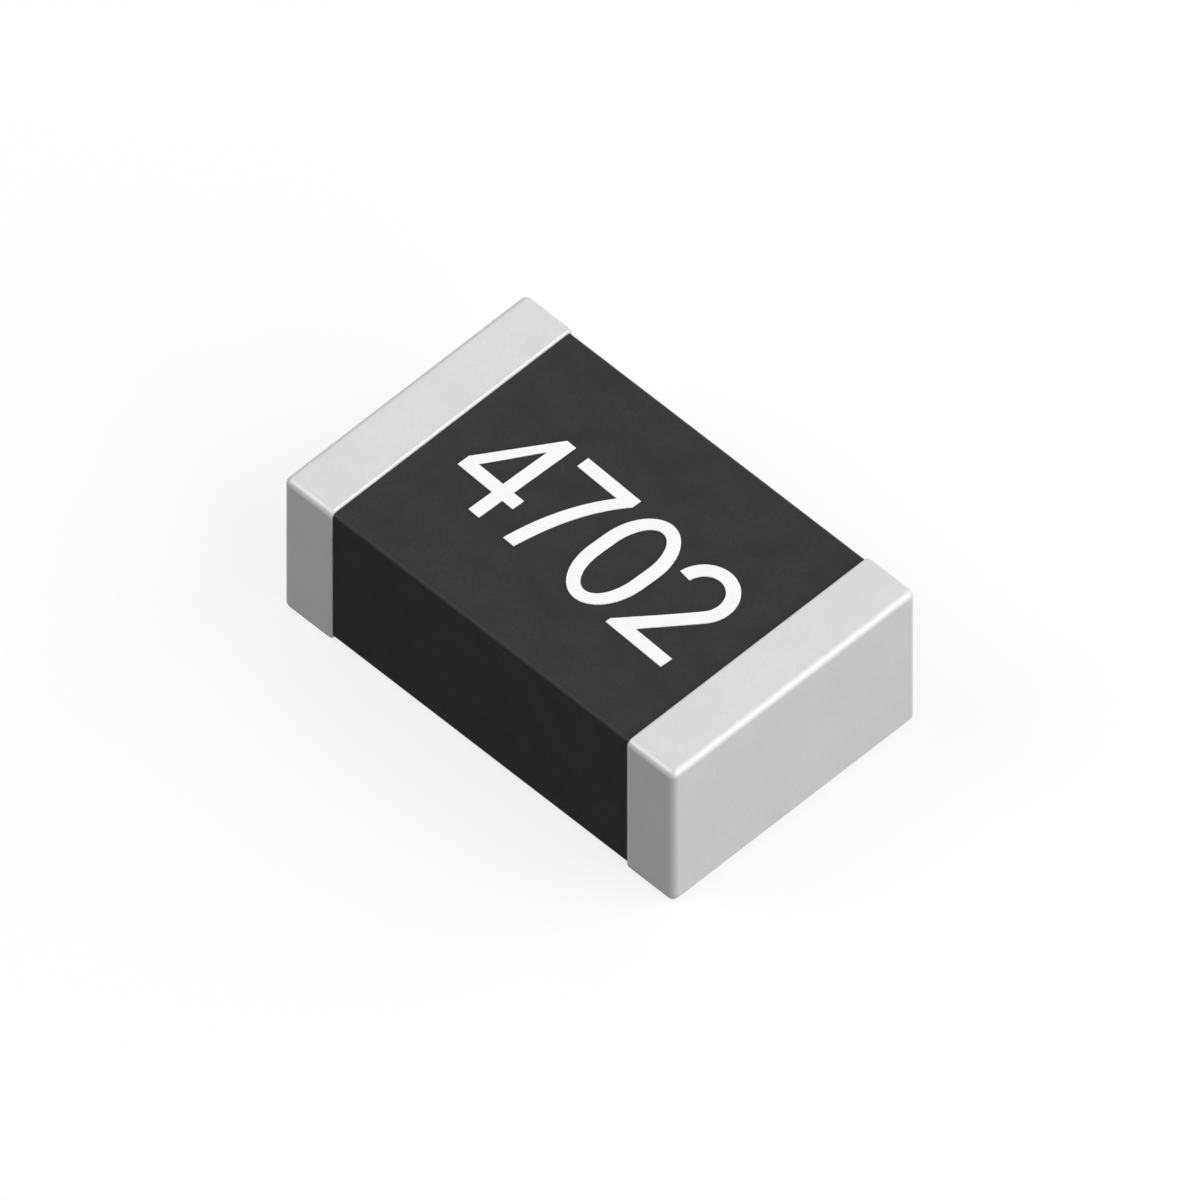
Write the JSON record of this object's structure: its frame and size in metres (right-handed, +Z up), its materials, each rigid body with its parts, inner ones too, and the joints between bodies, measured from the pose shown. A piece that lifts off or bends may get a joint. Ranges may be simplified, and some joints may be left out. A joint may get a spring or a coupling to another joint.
{
  "type": "surface-mount ceramic capacitor",
  "caption": "Rectangular surface-mount ceramic capacitor: a dark fired block with interleaved metal electrodes inside and a tin-plated metal cap wrapped round each end.",
  "frame": {"origin": "middle of the chip's outline, on the plane of the two solder feet that it lies on", "axes": "+X along the length from the left termination to the right one, +Y across the width, +Z up from the solder feet to the marked face"},
  "size_m": [0.003, 0.002, 0.0011],
  "materials": {
    "ceramic": "satin",
    "electrode_metal": "matte",
    "copper": "matte",
    "nickel": "satin",
    "tin": "satin",
    "marking_ink": "matte"
  },
  "bodies": {
    "root": {"ceramic_body": "ceramic", "electrode_01": "electrode_metal", "electrode_02": "electrode_metal", "electrode_03": "electrode_metal", "electrode_04": "electrode_metal", "electrode_05": "electrode_metal", "electrode_06": "electrode_metal", "electrode_07": "electrode_metal", "electrode_08": "electrode_metal", "electrode_09": "electrode_metal", "electrode_10": "electrode_metal", "electrode_11": "electrode_metal", "electrode_12": "electrode_metal", "electrode_13": "electrode_metal", "electrode_14": "electrode_metal", "electrode_15": "electrode_metal", "electrode_16": "electrode_metal", "electrode_17": "electrode_metal", "electrode_18": "electrode_metal", "electrode_19": "electrode_metal", "electrode_20": "electrode_metal", "electrode_21": "electrode_metal", "electrode_22": "electrode_metal", "electrode_23": "electrode_metal", "electrode_24": "electrode_metal", "copper_base_left": "copper", "copper_base_right": "copper", "nickel_barrier_left": "nickel", "nickel_barrier_right": "nickel", "tin_finish_left": "tin", "tin_finish_right": "tin"}
  },
  "joints": []
}
